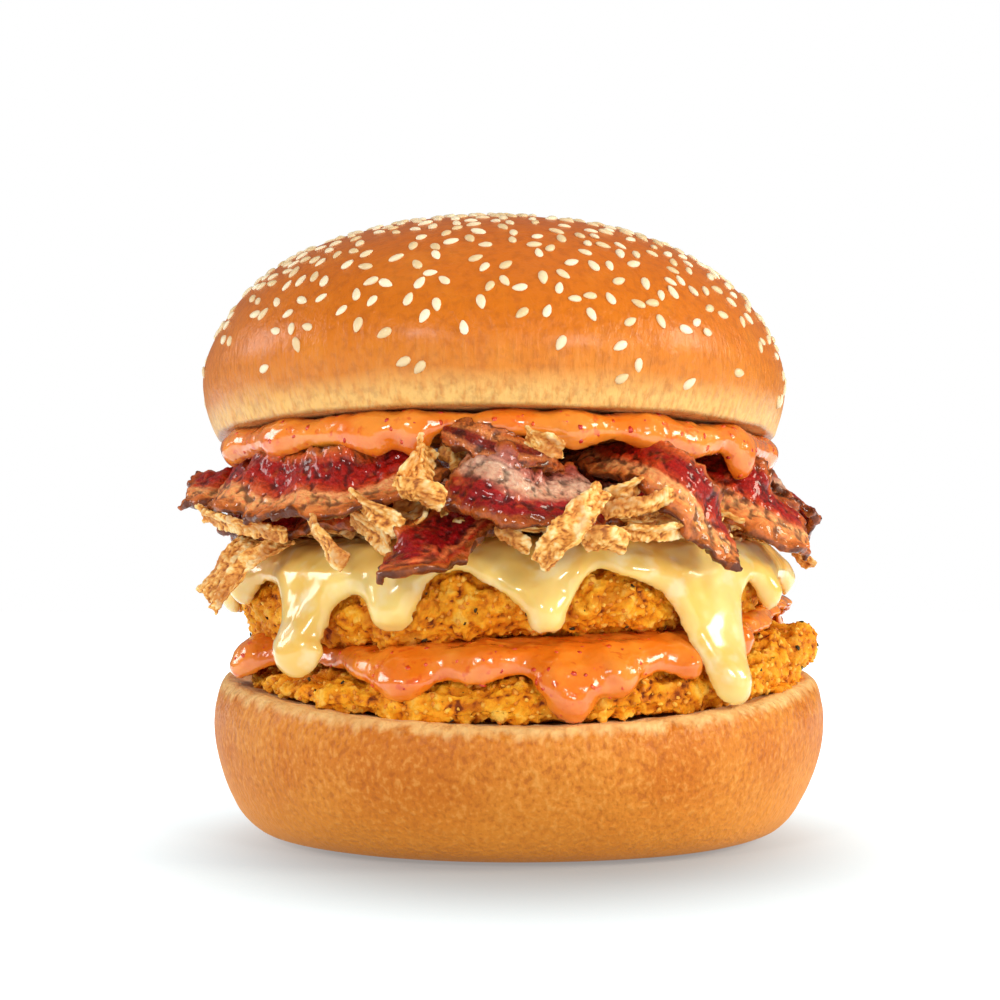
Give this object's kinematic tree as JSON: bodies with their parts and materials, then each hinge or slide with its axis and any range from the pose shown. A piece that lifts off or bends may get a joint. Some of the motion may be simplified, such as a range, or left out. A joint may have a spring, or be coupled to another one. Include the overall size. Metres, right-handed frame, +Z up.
{
  "type": "chicken burger",
  "caption": "Tall chicken burger: seeded bun, breaded fillets, orange chilli sauce, runny melted cheese, bacon rashers and crispy fried onion strips.",
  "frame": {"origin": "centre of the flat face that the bottom bun stands on", "axes": "+Z up through the stack, -Y towards the viewer of the picture, +X to that viewer's right"},
  "size_m": [0.1248, 0.1284, 0.1189],
  "materials": {
    "bun_crust": "glossy golden brown baked crust with pale seeds and a paler lower band",
    "bun_base": "matt golden baked crust with fine pores and a pale cut rim",
    "breading": "coarse golden fried breadcrumb with dark herb flecks",
    "sauce": "glossy creamy orange sauce with red chilli flecks",
    "cheese": "glossy pale yellow melted cheese",
    "bacon": "glossy fried bacon, dark red meat, pinkish orange fat and browned edges",
    "fried_onion": "dry crisp bubbly golden batter"
  },
  "bodies": {
    "root": {"heel": "bun_base", "crown": "bun_crust", "lower_fillet": "breading", "upper_fillet": "breading", "bacon_centre": "bacon", "bacon_curl": "bacon", "bacon_right": "bacon", "bacon_across": "bacon", "bacon_left": "bacon", "bacon_left_under": "bacon", "bacon_top": "bacon", "bacon_right_side": "bacon", "bacon_back_right": "bacon", "bacon_back": "bacon", "bacon_back_left": "bacon", "onion_01": "fried_onion", "onion_02": "fried_onion", "onion_03": "fried_onion", "onion_04": "fried_onion", "onion_05": "fried_onion", "onion_06": "fried_onion", "onion_07": "fried_onion", "onion_08": "fried_onion", "onion_09": "fried_onion", "onion_10": "fried_onion", "onion_11": "fried_onion", "onion_12": "fried_onion", "onion_13": "fried_onion", "onion_14": "fried_onion", "onion_15": "fried_onion", "onion_16": "fried_onion", "onion_17": "fried_onion", "onion_18": "fried_onion", "onion_19": "fried_onion", "onion_20": "fried_onion", "onion_21": "fried_onion", "onion_22": "fried_onion", "onion_23": "fried_onion", "onion_24": "fried_onion", "onion_25": "fried_onion", "onion_26": "fried_onion", "onion_27": "fried_onion", "onion_28": "fried_onion", "onion_29": "fried_onion", "onion_heap": "fried_onion", "cheese": "cheese", "lower_sauce": "sauce", "upper_sauce": "sauce"}
  },
  "joints": []
}
